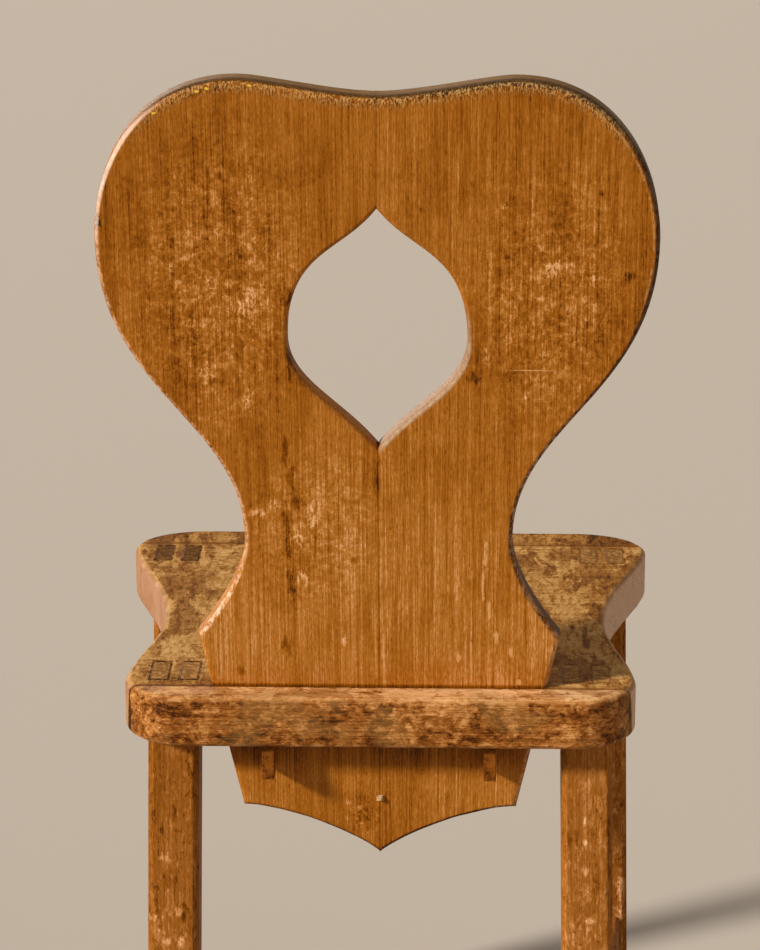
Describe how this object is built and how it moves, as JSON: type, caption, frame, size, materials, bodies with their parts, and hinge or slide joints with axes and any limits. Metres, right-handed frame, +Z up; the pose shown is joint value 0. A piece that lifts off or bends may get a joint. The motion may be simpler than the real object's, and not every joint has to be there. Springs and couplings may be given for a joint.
{
  "type": "plank-back chair",
  "caption": "Wooden plank-back chair with a waisted solid seat, a heart-shaped back board keyed through the seat, four leaning square legs and low stretchers.",
  "frame": {"origin": "on the floor under the middle of the chair's box", "axes": "+X to the sitter's left, -Y the way the sitter faces, +Z up"},
  "size_m": [0.418, 0.4232, 0.9119],
  "materials": {
    "seat_wood": "worn wax",
    "back_wood": "satin wax",
    "leg_wood": "satin wax",
    "key_wood": "bare, darkened",
    "dowel_wood": "bare",
    "old_iron": "dull, rusted"
  },
  "bodies": {
    "root": {"seat_front_board": "seat_wood", "seat_middle_board": "seat_wood", "seat_rear_board": "seat_wood", "back_board_left": "back_wood", "back_board_right": "back_wood", "front_left_leg": "leg_wood", "front_right_leg": "leg_wood", "rear_left_leg": "leg_wood", "rear_right_leg": "leg_wood", "left_stretcher": "leg_wood", "right_stretcher": "leg_wood", "cross_stretcher": "leg_wood", "left_key": "key_wood", "right_key": "key_wood", "seat_dowel_front_left": "dowel_wood", "seat_dowel_front_middle": "dowel_wood", "seat_dowel_front_right": "dowel_wood", "seat_dowel_rear_left": "dowel_wood", "seat_dowel_rear_right": "dowel_wood", "back_dowel_top": "dowel_wood", "back_dowel_middle": "dowel_wood", "back_dowel_lower": "dowel_wood", "back_dowel_tongue": "dowel_wood", "tongue_nail": "old_iron"}
  },
  "joints": []
}
